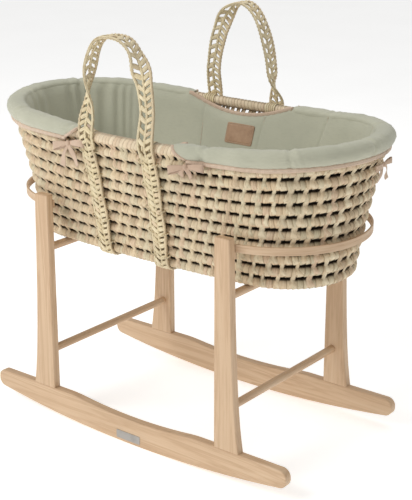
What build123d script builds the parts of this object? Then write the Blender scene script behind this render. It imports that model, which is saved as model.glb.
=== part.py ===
from build123d import *
import os
from math import asin, atan, cos, degrees, hypot, sin, sqrt, tan

# A palm-leaf Moses basket resting in a pine rocking stand. Millimetres.
# +X points to the foot end, along the rockers, +Y goes across, from front to rear, and
# +Z up. The origin is on the floor under the middle of the stand.

# ---------------------------------------------------------------- stand sizes
stand_length = 750.0        # rocker tip to rocker tip
stand_width = 396.0         # outer face to outer face of the two side frames
board = 18.0                # thickness of rockers and legs
edge_round = 2.5            # rounded-over edges of the boards
rocker_radius = 2500.0      # curve that rolls on the floor
rocker_top = 63.5           # height of the rocker's level top edge
rocker_dip = 10.0           # depth of the hollow in the top edge
rocker_dip_length = 310.0
rocker_shoulder = 250.0     # soft corner where the hollow begins
leg_top = 480.0
leg_inner = 209.0           # X of the leg's straight inner edge
leg_top_width = 33.5
leg_mid_width, leg_mid_z = 38.5, 315.0
leg_knee_width, leg_knee_z = 44.8, 181.0
leg_flare_width, leg_flare_z = 52.0, 100.0
leg_foot_width = 57.5
bar_diameter = 16.0         # crossbars and support rails
bar_socket = 10.0           # depth of the blind hole that a bar is glued into
bar_play = 0.1              # radial room round a bar in its socket
crossbar_x, crossbar_z = 228.5, 141.0
rail_x, rail_z = 228.0, 364.0
dowel_diameter, dowel_length = 8.0, 36.0
dowel_play, dowel_end_room = 0.1, 1.0
dowel_inset = 14.0          # dowel centres from the leg's foot edges
band_reach = 389.0          # X of the bent band's centreline at the basket's end
band_thickness, band_height = 4.0, 15.0
band_z = 459.0
screw_diameter, screw_length, screw_head = 3.0, 13.0, 6.0
screw_head_height, screw_play, screw_pitch, screw_inset = 1.2, 0.15, 8.0, 6.0
screw_seat_room = 0.3       # between the screw's head and the band
plate_length, plate_height, plate_thickness = 61.0, 17.0, 0.8
plate_x, plate_z, plate_round = -6.0, 15.5, 2.0

# --------------------------------------------------------------- basket sizes
rest_gap = 0.3              # basket clear of the support rails
rim_z = 621.0               # rim coil's centre at mid-length
rim_sheer = 17.0            # rise of the rim at the two ends
rim_half_length, rim_half_width = 408.0, 202.0
base_half_length, base_half_width = 354.0, 135.0
end_fullness = 0.92         # end radius over half width
wall_hollow = 0.28          # how far the wall is hollow between base and rim
wall_rows = 10
coil_radius = 10.8          # palm coil of the wall
rim_coil_radius = 10.3
rim_step = 26.0             # rim coil's centre above the top row's centre
mat_thickness = 16.0
mat_room = 0.4

# ----------------------------------------------------- straps and handle sizes
strap_width, strap_thickness, strap_room = 36.0, 6.0, 0.5
strap_top_z = 604.0
strap_head_x, strap_foot_x = -92.5, 57.5
handle_span = 150.0         # foot to foot
handle_front_x, handle_rear_x = -9.0, -26.0
handle_front_rise, handle_rear_rise = 197.0, 210.0
handle_width, handle_thickness = 36.0, 7.0
handle_neck = 16.0          # width of a leg where it twists into the arch
collar_width, collar_wall, collar_room = 24.0, 2.4, 2.0

# --------------------------------------------------------- liner and mattress
quilt = 5.0                 # thickness of the quilted liner
liner_room = 2.0            # liner clear of the coils
roll_thickness = 8.5        # padded roll turned over the rim
roll_room = 0.6
seam_room = 0.2             # between sewn pieces that meet
flap_drop = 24.0            # flap's lower edge below the rim coil's centre
binding_height, binding_thickness = 8.0, 4.0
front_cut = (-106.0, 130.0) # where the front flaps stop, at the top of the roll
rear_cut = (-143.0, 110.0)
cut_slant = 50.0            # how much further apart the flaps are at their lower edge
scoop_depth = 26.0
bow_length, bow_height, bow_depth = 33.0, 13.0, 5.0
bow_drop = 36.0             # bow's centre below the rim coil's centre
end_tie_y = 22.0
patch_length, patch_height, patch_thickness = 69.0, 43.0, 1.4
patch_x, patch_z, patch_room = -0.5, 568.5, 0.6
mattress_thickness, mattress_room, mattress_round = 40.0, 3.0, 9.0
cover_wall = 2.0

# ------------------------------------------------------------- worked-out sizes
inner_face = stand_width / 2 - board
rail_top = rail_z + bar_diameter / 2
base_z = rail_top + rest_gap
low_row_z = base_z + coil_radius
top_row_z = rim_z - rim_step
row_step = (top_row_z - low_row_z) / (wall_rows - 1)
rim_top = rim_z + rim_coil_radius
wall_lean = (rim_half_width - base_half_width) / (rim_z - low_row_z) * (1 + wall_hollow)
coil_reach = coil_radius * hypot(1, wall_lean)      # level distance that the coils stand out
flap_low = rim_z - flap_drop
mat_top = base_z + mat_room + mat_thickness
bag_low = mat_top + mat_room
bag_floor = bag_low + quilt
bag_inset = coil_reach + liner_room
bag_top = rim_top + roll_room
roll_top = bag_top + seam_room + roll_thickness
cover_low = bag_floor + mat_room

os.makedirs("parts", exist_ok=True)


def save(name, shape):
    """Write one named piece."""
    export_step(shape, f"parts/{name}.step")


def board_between(outline, y_low, y_high):
    """Extrude an outline drawn in X and Z, from y_low to y_high."""
    return Pos(0, y_high, 0) * extrude(Plane.XZ * outline, amount=y_high - y_low)


def across(radius, length, x, z, y_mid):
    """A round rod along Y."""
    return Pos(x, y_mid, z) * Rot(90, 0, 0) * Cylinder(radius, length)


def to_head(shape):
    """The same piece at the other end of the object."""
    return mirror(shape, about=Plane.YZ)


# ================================================================== the stand
def rocker_outline():
    half = stand_length / 2
    rise = rocker_radius - sqrt(rocker_radius ** 2 - half ** 2)
    dip_half = rocker_dip_length / 2
    edges = [
        ThreePointArc((-half, rise), (0, 0), (half, rise)),
        Line((half, rise), (half, rocker_top)),
        Line((half, rocker_top), (dip_half, rocker_top)),
        ThreePointArc((dip_half, rocker_top), (0, rocker_top - rocker_dip), (-dip_half, rocker_top)),
        Line((-dip_half, rocker_top), (-half, rocker_top)),
        Line((-half, rocker_top), (-half, rise)),
    ]
    face = make_face(edges)
    tips = [v for v in face.vertices() if abs(v.X) > half - 1]
    face = fillet(tips, 0.48 * (rocker_top - rise))
    shoulders = [v for v in face.vertices() if abs(abs(v.X) - dip_half) < 1]
    return fillet(shoulders, rocker_shoulder)


def leg_outline():
    x = leg_inner
    outer = Spline(
        (x + leg_top_width, leg_top),
        (x + leg_mid_width, leg_mid_z),
        (x + leg_knee_width, leg_knee_z),
        (x + leg_flare_width, leg_flare_z),
        (x + leg_foot_width, rocker_top),
    )
    return make_face([
        outer,
        Line((x + leg_foot_width, rocker_top), (x, rocker_top)),
        Line((x, rocker_top), (x, leg_top)),
        Line((x, leg_top), (x + leg_top_width, leg_top)),
    ])


def dowel_centres():
    return [leg_inner + dowel_inset, leg_inner + leg_foot_width - dowel_inset]


def dowel_rod(x, y, play, end_room):
    rod = Cylinder(dowel_diameter / 2 + play, dowel_length + 2 * end_room)
    return Pos(x, y, rocker_top) * rod


def make_rocker(side):
    y_mid = side * (stand_width - board) / 2
    rocker = board_between(rocker_outline(), y_mid - board / 2, y_mid + board / 2)
    rocker = fillet(rocker.faces().filter_by(Axis.Y).edges(), edge_round)
    for x in dowel_centres():
        rocker -= dowel_rod(x, y_mid, dowel_play, dowel_end_room)
        rocker -= dowel_rod(-x, y_mid, dowel_play, dowel_end_room)
    return rocker


def screw_places(side):
    """Centres of the two screws that hold one end of a band, on the leg's inner face."""
    for step in (-1, 1):
        yield leg_inner + screw_inset, side * inner_face, band_z + step * screw_pitch / 2


def make_leg(side):
    y_mid = side * (stand_width - board) / 2
    leg = board_between(leg_outline(), y_mid - board / 2, y_mid + board / 2)
    leg = fillet([e for e in leg.edges() if e.center().Z > rocker_top + 1], edge_round)
    socket = bar_diameter / 2 + bar_play
    y_socket = side * inner_face
    leg -= across(socket, 2 * bar_socket, crossbar_x, crossbar_z, y_socket)
    leg -= across(socket, 2 * bar_socket, rail_x, rail_z, y_socket)
    for x in dowel_centres():
        leg -= dowel_rod(x, y_mid, dowel_play, dowel_end_room)
    for x, y, z in screw_places(side):
        leg -= across(screw_diameter / 2 + screw_play, 2 * screw_length, x, z, y)
    return leg


def make_bar(x, z):
    end_room = 0.5
    return across(bar_diameter / 2, 2 * (inner_face + bar_socket - end_room), x, z, 0)


def make_leg_dowels():
    rods = []
    for side in (-1, 1):
        y_mid = side * (stand_width - board) / 2
        for x in dowel_centres():
            rods += [dowel_rod(x, y_mid, 0, 0), dowel_rod(-x, y_mid, 0, 0)]
    return Compound(children=rods)


def band_radius():
    return inner_face - band_thickness / 2


def make_band():
    """A strip bent into a U: two short laps on the legs and a half circle round the basket's end."""
    radius = band_radius()
    centre = band_reach - radius
    ring = Circle(radius + band_thickness / 2) - Circle(radius - band_thickness / 2)
    half = ring & Pos(radius, 0) * Rectangle(2 * radius, 4 * radius)
    shape = Pos(centre, 0) * half
    for side in (-1, 1):
        lap = Rectangle(centre - leg_inner, band_thickness)
        shape += Pos((centre + leg_inner) / 2, side * radius) * lap
    band = extrude(Pos(0, 0, band_z - band_height / 2) * shape, amount=band_height)
    for side in (-1, 1):
        for x, y, z in screw_places(side):
            band -= across(screw_diameter / 2 + screw_play, 4 * band_thickness, x, z, y)
    return band


def make_screw(x, y, z, side):
    """Pan-headed screw: its head lies on the band's inner side and its shank enters the leg."""
    seat = side * (inner_face - band_thickness)
    shank_mid = seat + side * screw_length / 2
    head_mid = seat - side * (screw_head_height / 2 + screw_seat_room)
    shank = across(screw_diameter / 2, screw_length + 2 * screw_seat_room, x, z, shank_mid)
    return shank + across(screw_head / 2, screw_head_height, x, z, head_mid)


def make_band_screws():
    screws = []
    for side in (-1, 1):
        for x, y, z in screw_places(side):
            screw = make_screw(x, y, z, side)
            screws += [screw, to_head(screw)]
    return Compound(children=screws)


def make_plate():
    face = RectangleRounded(plate_length, plate_height, plate_round)
    return board_between(Pos(plate_x, plate_z) * face, -stand_width / 2 - plate_thickness, -stand_width / 2)


# ================================================================= the basket
def hollow_share(height, top):
    """How far the wall has opened from base to rim, 0 to 1, at a height."""
    t = min(max((height - low_row_z) / (top - low_row_z), 0.0), 1.0)
    return t - wall_hollow * t * (1 - t)


def half_width(z):
    return base_half_width + (rim_half_width - base_half_width) * hollow_share(z, rim_z)


def half_length(z):
    """Half length at a level; at the ends each row stands higher, by its share of the sheer."""
    share = hollow_share(z, rim_z + rim_sheer)
    return base_half_length + (rim_half_length - base_half_length) * share


def sheer_at(z):
    """Rise of a row's ends above its middle."""
    return rim_sheer * min(max((z - low_row_z) / (rim_z - low_row_z), 0.0), 1.0)


def oval_radii(a, b):
    """End radius and side radius of a four-arc oval with half sizes a and b."""
    small = end_fullness * b
    reach = a - small
    big = (reach ** 2 + b ** 2 - small ** 2) / (2 * (b - small))
    return small, big


def side_arc(a, b, sheer, offset=0):
    """Radius, half turn and tilt of a side arc that bows down as well as out, and its ends' climb."""
    small, big = oval_radii(a, b)
    level_turn = asin((a - small) / (big - small))
    level_drop = big * (1 - cos(level_turn)) + small * tan(level_turn) * (1 - sin(level_turn))
    tilt = atan(sheer / level_drop)
    turn = asin(sin(level_turn) / cos(tilt))
    return (big + offset) * cos(tilt), turn, tilt, atan(tan(turn) * sin(tilt))


def oval_path(a, b, z, sheer, offset=0):
    """Tangent arcs that close an oval; its ends stand `sheer` above its middle."""
    radius, turn, tilt, climb = side_arc(a, b, sheer, offset)
    end_turn = asin(sin(turn) * cos(tilt))
    b = b + offset

    def side_point(angle, side):
        drop = radius * (1 - cos(angle))
        return Vector(radius * sin(angle), side * (b - drop * cos(tilt)), z + drop * sin(tilt))

    joint = side_point(turn, 1)
    end_radius = joint.Y / cos(end_turn)
    along = end_radius * (1 - sin(end_turn))
    tip = Vector(joint.X + along * cos(climb), 0, joint.Z + along * sin(climb))
    far_tip = Vector(-tip.X, 0, tip.Z)
    half = turn / 2
    return Wire([
        Edge.make_three_point_arc(side_point(0, 1), side_point(half, 1), joint),
        Edge.make_three_point_arc(joint, tip, side_point(turn, -1)),
        Edge.make_three_point_arc(side_point(turn, -1), side_point(0, -1), side_point(-turn, -1)),
        Edge.make_three_point_arc(side_point(-turn, -1), far_tip, side_point(-turn, 1)),
        Edge.make_three_point_arc(side_point(-turn, 1), side_point(-half, 1), side_point(0, 1)),
    ])


def oval_face(a, b, z, offset):
    return make_face(oval_path(a, b, z, 0, offset).edges())


def rim_side_y(x):
    """Y of the rim coil's centre on its long side, at an X."""
    radius, _, tilt, _ = side_arc(rim_half_length, rim_half_width, rim_sheer)
    return rim_half_width - (radius - sqrt(radius ** 2 - x ** 2)) * cos(tilt)


def rim_side_z(x):
    """Z of the rim coil's centre on its long side, at an X."""
    tilt = side_arc(rim_half_length, rim_half_width, rim_sheer)[2]
    return rim_z + (rim_half_width - rim_side_y(x)) * tan(tilt)


def make_coil(a, b, z, sheer, radius):
    path = oval_path(a, b, z, sheer)
    section = Plane(origin=path @ 0, z_dir=path % 0) * Circle(radius)
    return sweep(section, path=path)


def row_half_length(z):
    """Half length of the row whose middle is at a height."""
    return base_half_length + (rim_half_length - base_half_length) * hollow_share(z, rim_z)


def make_wall_row(index):
    """Row 1 is the lowest."""
    z = low_row_z + (index - 1) * row_step
    return make_coil(row_half_length(z), half_width(z), z, sheer_at(z), coil_radius)


def wall_level(z, offset):
    """Level oval face at a height, offset outwards from the coils' centres."""
    return oval_face(half_length(z), half_width(z), z, offset)


def wall_solid(offset, z_low, z_high, levels=5):
    step = (z_high - z_low) / (levels - 1)
    faces = [wall_level(z_low + i * step, offset) for i in range(levels)]
    return loft(faces, ruled=True)


def sheer_line(z):
    """Points from mid-length outwards, in X and Z, of a line that rises as the rows do."""
    radius, turn, tilt, climb = side_arc(row_half_length(z), half_width(z), sheer_at(z))
    joint_x = radius * sin(turn)
    joint_z = z + radius * (1 - cos(turn)) * sin(tilt)
    far_x = rim_half_length + 60
    return joint_x, joint_z, far_x, joint_z + (far_x - joint_x) * tan(climb)


def sheer_edges(z):
    """A bowed middle and two straight ends, or one level line at the base."""
    x, joint_z, far_x, far_z = sheer_line(z)
    if sheer_at(z) == 0:
        return [Line((-far_x, z), (far_x, z))]
    return [
        Line((-far_x, far_z), (-x, joint_z)),
        ThreePointArc((-x, joint_z), (0, z), (x, joint_z)),
        Line((x, joint_z), (far_x, far_z)),
    ]


def sheer_slab(z_low, z_high):
    """Everything between two heights that rise towards the ends as the rows do."""
    far_x, low_far_z = sheer_line(z_low)[2:]
    high_far_z = sheer_line(z_high)[3]
    outline = make_face(
        sheer_edges(z_low)
        + [Line((far_x, low_far_z), (far_x, high_far_z))]
        + sheer_edges(z_high)
        + [Line((-far_x, high_far_z), (-far_x, low_far_z))]
    )
    return board_between(outline, -rim_half_length, rim_half_length)


def make_mat():
    outline = oval_face(base_half_length, base_half_width, base_z + mat_room, -coil_radius - mat_room)
    return extrude(outline, amount=mat_thickness)


def strap_outline(offset):
    """U in Y and Z round the outside of the wall and under the base, closed across the top."""
    stand_off = (coil_radius + offset) * coil_reach / coil_radius
    top_y = half_width(strap_top_z) + stand_off
    low_y = base_half_width + stand_off
    under_z = base_z - offset
    lean = (top_y - low_y) / (strap_top_z - low_row_z)
    corner_y = low_y - lean * (low_row_z - under_z)
    outline = Polyline(
        (top_y, strap_top_z), (corner_y, under_z), (-corner_y, under_z), (-top_y, strap_top_z), close=True
    )
    face = make_face(outline)
    corners = [v for v in face.vertices() if v.Y < low_row_z]
    return fillet(corners, coil_radius + offset)


def make_strap(x):
    ring = strap_outline(strap_room + strap_thickness) - strap_outline(strap_room)
    return extrude(Plane.YZ * ring, amount=strap_width).moved(Location((x - strap_width / 2, 0, 0)))


def handle_frame(x_mid, side):
    """Local frame of a handle: origin midway between its feet on the rim coil's centre."""
    feet = []
    for x in (x_mid - handle_span / 2, x_mid + handle_span / 2):
        feet.append(Vector(x, side * rim_side_y(x), rim_side_z(x)))
    return Plane(origin=(feet[0] + feet[1]) / 2, x_dir=feet[1] - feet[0], z_dir=(0, -1, 0))


def make_handle(x_mid, rise, side):
    """Plaited strap: two flat legs that twist into an arch, each looped round the rim coil."""
    half = handle_span / 2
    bend = rise - half
    outer = rim_coil_radius + collar_room + collar_wall
    arch = Circle(half + handle_thickness / 2) - Circle(half - handle_thickness / 2)
    arch = Pos(0, bend) * (arch & Pos(0, half) * Rectangle(4 * half, 2 * half))
    body = extrude(arch, amount=handle_width / 2, both=True)
    for end in (-1, 1):
        foot_x = end * half
        leg = make_face(Polyline(
            (foot_x - collar_width / 2, 0), (foot_x + collar_width / 2, 0),
            (foot_x + handle_width / 2, 3 * outer), (foot_x + handle_neck / 2, bend + 2),
            (foot_x - handle_neck / 2, bend + 2), (foot_x - handle_width / 2, 3 * outer), close=True,
        ))
        body += extrude(leg, amount=handle_thickness / 2, both=True)
    for end in (-1, 1):
        turned = Pos(end * half, 0, 0) * Rot(0, 90, 0)
        body += turned * Cylinder(outer, collar_width)
        body -= turned * Cylinder(outer - collar_wall, 2 * collar_width)
    return handle_frame(x_mid, side) * body


# ================================================================== the liner
def cut_wedge(cut, side, z_low, z_high):
    """The gap between two flaps on one long side, wider at the bottom than at the top."""
    run = cut_slant / (roll_top - flap_low)
    low_spread = run * (roll_top - z_low)
    outline = make_face(Polyline(
        (cut[0] - low_spread, z_low), (cut[1] + low_spread, z_low), (cut[1], roll_top),
        (cut[1], z_high), (cut[0], z_high), (cut[0], roll_top), close=True,
    ))
    far = 2 * rim_half_width
    return board_between(outline, min(0, side * far), max(0, side * far))


def without_cuts(shape):
    """The two pieces, head and foot, that the gaps at the handles leave of a ring."""
    z_low = flap_low - 2 * binding_height
    z_high = roll_top + roll_thickness
    shape -= cut_wedge(front_cut, -1, z_low, z_high)
    shape -= cut_wedge(rear_cut, 1, z_low, z_high)
    head, foot = shape.solids().sort_by(Axis.X)
    return head, foot


def make_flaps():
    """Padded roll over the rim and down the outside, one round each end."""
    low = flap_low - 4
    high = roll_top + rim_sheer + 2 * roll_thickness
    skin = coil_reach + roll_room
    roll = wall_solid(skin + roll_thickness, low, high)
    roll &= sheer_slab(flap_low, roll_top)
    inside = wall_solid(skin, low - 1, high + 1)
    roll -= inside & sheer_slab(flap_low - 2 * binding_height, bag_top + seam_room)
    roll -= wall_solid(-bag_inset - quilt, low - 1, high + 1)
    return without_cuts(roll)


def make_flap_bindings():
    low = flap_low - binding_height
    top = flap_low - seam_room
    high = top + rim_sheer + 4
    skin = coil_reach + roll_room
    strip = wall_solid(skin + binding_thickness, low - 2, high)
    strip -= wall_solid(skin, low - 3, high + 1)
    return without_cuts(strip & sheer_slab(low, top))


def scoop_rod(cut, side, extra):
    """Round bar along Y that scoops the liner's top edge between two points."""
    chord = cut[1] - cut[0]
    radius = (chord ** 2 / 4 + scoop_depth ** 2) / (2 * scoop_depth)
    middle = (cut[0] + cut[1]) / 2
    z = bag_top - scoop_depth + radius
    return across(radius + extra, 2 * rim_half_width, middle, z, side * rim_half_width)


def bag_wall():
    high = bag_top + rim_sheer + 4
    outer = wall_solid(-bag_inset, bag_low, high, levels=7)
    inner = wall_solid(-bag_inset - quilt, bag_low, high, levels=7)
    return outer, inner


def make_bag():
    outer, inner = bag_wall()
    low_cut = Pos(0, 0, bag_floor - 50) * Box(4 * rim_half_length, 4 * rim_half_width, 100)
    bag = (outer - (inner - low_cut)) & sheer_slab(bag_low - 60, bag_top)
    bag -= scoop_rod(front_cut, -1, binding_height + seam_room)
    bag -= scoop_rod(rear_cut, 1, binding_height + seam_room)
    return bag


def make_scoop_binding(cut, side):
    outer, inner = bag_wall()
    strip = (outer - inner) & sheer_slab(bag_top - 2 * scoop_depth, bag_top)
    strip &= scoop_rod(cut, side, binding_height)
    return strip - scoop_rod(cut, side, 0)


def make_bow(x, side):
    z = rim_z - bow_drop
    y = side * (half_width(z + bow_height / 2) + coil_reach + roll_room + bow_depth / 2)
    knot = Box(bow_length, bow_depth, bow_height)
    return Pos(x, y, z) * fillet(knot.edges().filter_by(Axis.Y), bow_height / 3)


def make_end_tie():
    z = rim_z + rim_sheer - bow_drop
    stand_off = coil_reach + 2 * roll_room + binding_thickness
    x = half_length(z + bow_height / 2) + stand_off + bow_depth / 2
    knot = Box(bow_depth, bow_length, bow_height)
    return Pos(x, end_tie_y, z) * fillet(knot.edges().filter_by(Axis.X), bow_height / 3)


def make_patch():
    span = 10.0
    lean = degrees(atan((half_width(patch_z + span) - half_width(patch_z - span)) / (2 * span)))
    y = half_width(patch_z) - bag_inset - quilt - patch_room - patch_thickness / 2
    y -= rim_half_width - rim_side_y(abs(patch_x) + patch_length / 2)
    return Pos(patch_x, y, patch_z) * Rot(-lean, 0, 0) * Box(patch_length, patch_thickness, patch_height)


# =============================================================== the mattress
def mattress_block(inset, z, thickness):
    trim = bag_inset + quilt + mattress_room + inset
    return extrude(oval_face(base_half_length, base_half_width, z, -trim), amount=thickness)


def make_cover():
    block = mattress_block(0, cover_low, mattress_thickness)
    block = fillet(block.faces().filter_by(Axis.Z).edges(), mattress_round)
    return block - mattress_block(
        mattress_round / 2 + cover_wall, cover_low + cover_wall, mattress_thickness - 2 * cover_wall
    )


def make_core():
    play = 0.3
    thickness = mattress_thickness - 2 * cover_wall - 2 * play
    return mattress_block(mattress_round / 2 + cover_wall + play, cover_low + cover_wall + play, thickness)


# ================================================================== all pieces
def build_stand():
    for side, name in ((-1, "front"), (1, "rear")):
        save(f"rocker_{name}", make_rocker(side))
        leg = make_leg(side)
        save(f"leg_{name}_foot", leg)
        save(f"leg_{name}_head", to_head(leg))
    save("leg_dowels", make_leg_dowels())
    save("crossbar_foot", make_bar(crossbar_x, crossbar_z))
    save("crossbar_head", make_bar(-crossbar_x, crossbar_z))
    save("support_rail_foot", make_bar(rail_x, rail_z))
    save("support_rail_head", make_bar(-rail_x, rail_z))
    band = make_band()
    save("bent_band_foot", band)
    save("bent_band_head", to_head(band))
    save("band_screws", make_band_screws())
    save("rocker_plate", make_plate())


def build_basket():
    save("base_mat", make_mat())
    for index in range(1, wall_rows + 1):
        save(f"wall_row_{index:02d}", make_wall_row(index))
    save("rim_coil", make_coil(rim_half_length, rim_half_width, rim_z, rim_sheer, rim_coil_radius))
    save("carry_strap_head", make_strap(strap_head_x))
    save("carry_strap_foot", make_strap(strap_foot_x))
    save("handle_front", make_handle(handle_front_x, handle_front_rise, -1))
    save("handle_rear", make_handle(handle_rear_x, handle_rear_rise, 1))


def build_liner():
    save("liner_bag", make_bag())
    head, foot = make_flaps()
    save("liner_flap_head", head)
    save("liner_flap_foot", foot)
    head, foot = make_flap_bindings()
    save("flap_binding_head", head)
    save("flap_binding_foot", foot)
    save("scoop_binding_front", make_scoop_binding(front_cut, -1))
    save("scoop_binding_rear", make_scoop_binding(rear_cut, 1))
    for cut, side, name in ((front_cut, -1, "front"), (rear_cut, 1, "rear")):
        save(f"tie_bow_{name}_head", make_bow(cut[0] - cut_slant / 2, side))
        save(f"tie_bow_{name}_foot", make_bow(cut[1] + cut_slant / 2, side))
    tie = make_end_tie()
    save("end_tie_foot", tie)
    save("end_tie_head", to_head(tie))
    save("liner_patch", make_patch())


def build_mattress():
    save("mattress_cover", make_cover())
    save("mattress_core", make_core())


build_stand()
build_basket()
build_liner()
build_mattress()
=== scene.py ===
# %% [markdown]
# # A palm-leaf baby basket on a rocking pine stand
#
# The real object is a boat-shaped basket coiled from palm leaf, lined with a quilted cloth that
# rolls over its rim, with two plaited carry handles. It rests on the two rails of a pine stand
# whose rockers let it sway. An engineer's model already fixes every size and every joint. This
# lesson loads that model and dresses it: each section takes one piece, says what it is made of,
# weighs the ways to build it, and builds it in the place that the model gives.

# %% Load the measured model
import math
import bpy
import numpy as np
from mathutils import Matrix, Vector


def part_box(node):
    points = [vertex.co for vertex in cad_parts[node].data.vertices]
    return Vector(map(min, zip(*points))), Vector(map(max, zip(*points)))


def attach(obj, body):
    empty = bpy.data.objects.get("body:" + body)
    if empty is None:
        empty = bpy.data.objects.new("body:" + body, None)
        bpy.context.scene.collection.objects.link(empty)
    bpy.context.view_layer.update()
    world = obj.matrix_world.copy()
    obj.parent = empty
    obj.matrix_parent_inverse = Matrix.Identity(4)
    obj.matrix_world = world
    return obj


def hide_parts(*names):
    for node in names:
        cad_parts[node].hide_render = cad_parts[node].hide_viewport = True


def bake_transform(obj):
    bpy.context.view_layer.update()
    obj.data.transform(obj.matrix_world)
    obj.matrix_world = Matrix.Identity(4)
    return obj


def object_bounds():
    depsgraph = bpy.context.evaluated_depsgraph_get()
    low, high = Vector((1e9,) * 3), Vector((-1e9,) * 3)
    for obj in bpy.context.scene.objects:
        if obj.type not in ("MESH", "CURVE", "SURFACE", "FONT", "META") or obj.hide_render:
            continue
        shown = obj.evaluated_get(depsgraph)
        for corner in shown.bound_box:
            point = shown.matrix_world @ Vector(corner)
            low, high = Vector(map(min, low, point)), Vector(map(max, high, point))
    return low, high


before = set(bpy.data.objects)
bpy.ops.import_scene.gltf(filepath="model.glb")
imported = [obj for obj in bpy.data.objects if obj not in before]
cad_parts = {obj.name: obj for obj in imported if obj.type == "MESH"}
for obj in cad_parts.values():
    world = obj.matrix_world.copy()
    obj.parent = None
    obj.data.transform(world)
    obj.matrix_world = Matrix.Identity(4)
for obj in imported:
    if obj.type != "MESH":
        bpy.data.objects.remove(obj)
cad_low, cad_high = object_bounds()
scene = bpy.context.scene
print("measured box in metres:", [round(v, 3) for v in cad_low], [round(v, 3) for v in cad_high])

# %% [markdown]
# ## Studio
#
# A pale object on a pale floor needs a big soft light, or its own shade eats the weave. One
# large lamp high at the front left is the key, the white air all round fills the shade, and the
# floor is a wide sheet of near-white paper. A small bright lamp would draw the weave more
# sharply, but it would also throw a hard shadow that this kind of room doesn't have.

# %% Air, lamps and floor
scene.view_settings.view_transform = "Standard"
air = bpy.data.worlds.new("white_air")
air.use_nodes = True
air.node_tree.nodes["Background"].inputs["Color"].default_value = (1.0, 0.995, 0.985, 1.0)
air.node_tree.nodes["Background"].inputs["Strength"].default_value = 0.43
scene.world = air


def soft_lamp(name, place, aim, width, power):
    """A square soft box that shines from one point towards another."""
    lamp = bpy.data.lights.new(name, "AREA")
    lamp.size = width
    lamp.energy = power
    holder = bpy.data.objects.new(name, lamp)
    holder.location = place
    holder.rotation_euler = (Vector(aim) - Vector(place)).to_track_quat("-Z", "Y").to_euler()
    scene.collection.objects.link(holder)
    return holder


middle = (cad_low + cad_high) / 2
soft_lamp("key_lamp", (-1.3, -2.6, 2.6), middle, 1.8, 57)
soft_lamp("top_lamp", (0.2, 0.4, 3.2), middle, 2.6, 23)
print("two soft lamps and white air")

# %% Camera
azimuth = math.radians(38.03)
elevation = math.radians(18.75)
back = Vector((
    math.sin(azimuth) * math.cos(elevation),
    -math.cos(azimuth) * math.cos(elevation),
    math.sin(elevation),
))
aim_point = Vector((0.031, 0.0069, 0.3628))
camera = bpy.data.objects.new("camera", bpy.data.cameras.new("camera"))
camera.data.lens = 90.4
camera.data.sensor_width = 36.0
camera.location = aim_point + back * 2.53
turn = (-back).to_track_quat("-Z", "Y")
camera.rotation_mode = "QUATERNION"
camera.rotation_quaternion = turn
scene.collection.objects.link(camera)
scene.camera = camera
print("camera at", [round(v, 3) for v in camera.location])

# %% [markdown]
# ## Shader sums written as Python
#
# A finish is easier to read as a formula than as a drawing of boxes and threads. `Wire` wraps
# one socket of a node tree. Its operators add the Math node that does the same sum, `node` adds
# any other kind, and a few short names cover the sums that every finish here needs.

# %% The Wire class
class Wire:
    """One socket of a material's nodes, for use in Python arithmetic."""

    def __init__(self, tree, socket=None):
        self.tree = tree
        self.socket = socket

    def node(self, kind, settings=None, inputs=None, output=0):
        """Add a node: its settings first, then the values or links of its sockets."""
        made = self.tree.nodes.new(kind)
        for key, value in (settings or {}).items():
            if key == "stops":
                ramp = made.color_ramp
                while len(ramp.elements) < len(value):
                    ramp.elements.new(0.5)
                for element, (place, colour) in zip(ramp.elements, value):
                    element.position = place
                    element.color = (*colour, 1.0)
            else:
                setattr(made, key, value)
        for key, value in (inputs or {}).items():
            if isinstance(value, Wire):
                self.tree.links.new(value.socket, made.inputs[key])
            else:
                made.inputs[key].default_value = value
        return Wire(self.tree, made.outputs[output])

    def sum(self, operation, first, second=0.0):
        return self.node("ShaderNodeMath", {"operation": operation}, {0: first, 1: second})

    def __add__(self, other):
        return self.sum("ADD", self, other)

    __radd__ = __add__

    def __sub__(self, other):
        return self.sum("SUBTRACT", self, other)

    def __rsub__(self, other):
        return self.sum("SUBTRACT", other, self)

    def __mul__(self, other):
        return self.sum("MULTIPLY", self, other)

    __rmul__ = __mul__

    def __truediv__(self, other):
        return self.sum("DIVIDE", self, other)

    def __pow__(self, other):
        return self.sum("POWER", self, other)

    def __abs__(self):
        return self.sum("ABSOLUTE", self)

    def whole(self):
        return self.sum("FLOOR", self)

    def part(self):
        return self.sum("FRACT", self)

    def sine(self):
        return self.sum("SINE", self)

    def rise(self, low, high):
        """0 below low, 1 above high, and a smooth climb between."""
        return self.node(
            "ShaderNodeMapRange",
            {"interpolation_type": "SMOOTHSTEP"},
            {"Value": self, "From Min": low, "From Max": high},
        )

    def ramp(self, *stops):
        """A colour for each value, from (place, colour) stops."""
        return self.node("ShaderNodeValToRGB", {"stops": stops}, {"Fac": self})

    def blend(self, first, second, how="MIX"):
        """Colours first and second combined, with this value as the share of second."""
        plain = {0: self}
        for key, value in ((6, first), (7, second)):
            plain[key] = value if isinstance(value, Wire) else (*value, 1.0)
        return self.node("ShaderNodeMix", {"data_type": "RGBA", "blend_type": how}, plain, 2)

    def stretched(self, across):
        """A vector multiplied, number by number, by another."""
        return self.node("ShaderNodeVectorMath", {"operation": "MULTIPLY"}, {0: self, 1: across})

    def noise(self, scale, detail=3.0, roughness=0.5, distortion=0.0):
        """Cloudy noise at this vector."""
        values = {"Vector": self, "Scale": scale, "Detail": detail}
        values.update({"Roughness": roughness, "Distortion": distortion})
        return self.node("ShaderNodeTexNoise", {}, values)


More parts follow.
